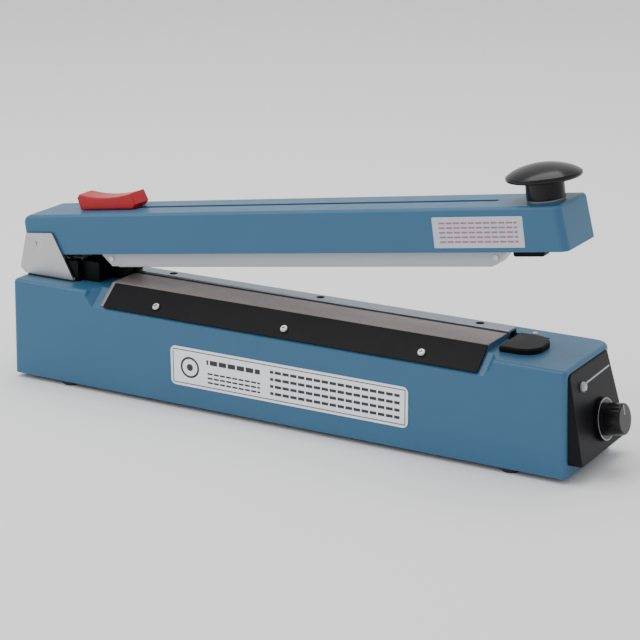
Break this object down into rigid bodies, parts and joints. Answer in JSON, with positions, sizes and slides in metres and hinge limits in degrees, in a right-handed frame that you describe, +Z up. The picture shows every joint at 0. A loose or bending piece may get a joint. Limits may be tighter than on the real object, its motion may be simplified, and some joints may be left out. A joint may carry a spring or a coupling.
{
  "type": "impulse heat sealer",
  "caption": "Tabletop impulse heat sealer with a hinged press arm, heated sealing bed, sliding bag cutter, timer dial and power lamp.",
  "frame": {"origin": "under the middle of the whole machine, on the plane that the rubber feet rest on", "axes": "+Z up; +X along the bed towards the timer console, away from the arm hinge; -Y is the front, where the user stands"},
  "size_m": [0.4691, 0.0889, 0.2],
  "materials": {
    "blue_paint": "die-cast aluminium with smooth blue-grey satin enamel",
    "cover_sheet": "dark satin sheet",
    "screw_steel": "bright plated",
    "dark_screw": "blackened steel",
    "foot_rubber": "matt black rubber",
    "silicone": "satin silicone rubber",
    "gasket_rubber": "matt black rubber",
    "ptfe": "PTFE-coated glass cloth, low sheen",
    "glass_tape": "insulating glass tape",
    "nichrome": "rolled resistance band",
    "copper": "brass blocks",
    "strip_paint": "dark satin enamel",
    "rail_metal": "satin anodised section",
    "bracket_steel": "light grey satin paint",
    "pin_steel": "ground steel",
    "spring_steel": "spring wire",
    "bush_bronze": "sintered bronze",
    "holder_grey": "satin grey extrusion",
    "black_plastic": "fine texture",
    "gloss_black": "polished black",
    "red_plastic": "moulded red",
    "lamp_lens": "clear red lens",
    "panel_plastic": "dark satin moulding with a thin printed line",
    "label_film": "printed film label",
    "arm_film": "printed film label",
    "nylon": "natural nylon",
    "blade_steel": "honed blade steel",
    "core_steel": "lacquered laminations",
    "coil_wrap": "taped winding",
    "zinc_steel": "zinc-plated strap",
    "board_green": "glass-epoxy board",
    "relay_case": "moulded case",
    "ceramic": "glazed ceramic"
  },
  "bodies": {
    "base": {"base_casting": "blue_paint", "bottom_cover": "cover_sheet", "bottom_cover_screws": "dark_screw", "rubber_feet": "foot_rubber", "foot_and_board_screws": "screw_steel", "bed_tape": "glass_tape", "heating_element": "nichrome", "element_terminals": "copper", "terminal_insulators": "ceramic", "terminal_screws": "screw_steel", "ptfe_cloth": "ptfe", "clamp_strip": "strip_paint", "clamp_strip_screws": "screw_steel", "cutter_guide_rail": "rail_metal", "rail_screws": "screw_steel", "bracket_gasket": "gasket_rubber", "hinge_bracket": "bracket_steel", "bracket_screws": "screw_steel", "hinge_pin": "pin_steel", "return_spring": "spring_steel", "blade_guard": "black_plastic", "panel_and_guard_screws": "dark_screw", "switch_cover": "black_plastic", "micro_switch": "black_plastic", "switch_bracket": "zinc_steel", "switch_screws": "screw_steel", "control_panel": "panel_plastic", "indicator_lamp": "lamp_lens", "potentiometer": "zinc_steel", "potentiometer_nut": "screw_steel", "fuse_holder": "black_plastic", "fuse_cap": "black_plastic", "cord_grommet": "black_plastic", "nameplate": "label_film", "transformer_core": "core_steel", "transformer_coil": "coil_wrap", "transformer_frame": "zinc_steel", "transformer_screws": "screw_steel", "timer_board": "board_green", "board_standoffs": "nylon", "timer_relay": "relay_case", "board_capacitors": "black_plastic"},
    "arm": {"arm_casting": "blue_paint", "hinge_bushes": "bush_bronze", "pad_holder": "holder_grey", "silicone_pad": "silicone", "pad_rivets": "screw_steel", "arm_screws": "screw_steel", "switch_striker": "black_plastic", "arm_label": "arm_film", "press_knob": "gloss_black", "knob_washer": "screw_steel", "press_knob_screw": "screw_steel"},
    "cutter": {"cutter_grip": "red_plastic", "blade_carrier": "nylon", "cutter_blade": "blade_steel", "cutter_screws": "screw_steel"},
    "timer_dial": {"timer_knob": "gloss_black", "potentiometer_shaft": "pin_steel"},
    "switch_button": {"switch_plunger": "pin_steel"}
  },
  "joints": [
    {"name": "arm_hinge", "type": "hinge", "parent": "base", "child": "arm", "pos_m": [-0.2211, -0.0043, 0.1], "axis": [0, 1, 0], "range_deg": [0, 7.9], "stiffness_Nm_per_rad": 6, "springref_deg": -17.19, "deforming": ["return_spring"]},
    {"name": "cutter_slide", "type": "slide", "parent": "arm", "child": "cutter", "axis": [0.9905, 0, 0.1374], "range_m": [0, 0.28]},
    {"name": "timer_turn", "type": "hinge", "parent": "base", "child": "timer_dial", "pos_m": [0.2172, 0.0002, 0.0325], "axis": [0.9844, 0, 0.1761], "range_deg": [-135, 135]},
    {"name": "switch_press", "type": "slide", "parent": "base", "child": "switch_button", "axis": [0, 0, -1], "range_m": [0, 0.002], "stiffness_N_per_m": 400, "springref_m": -0.002}
  ]
}
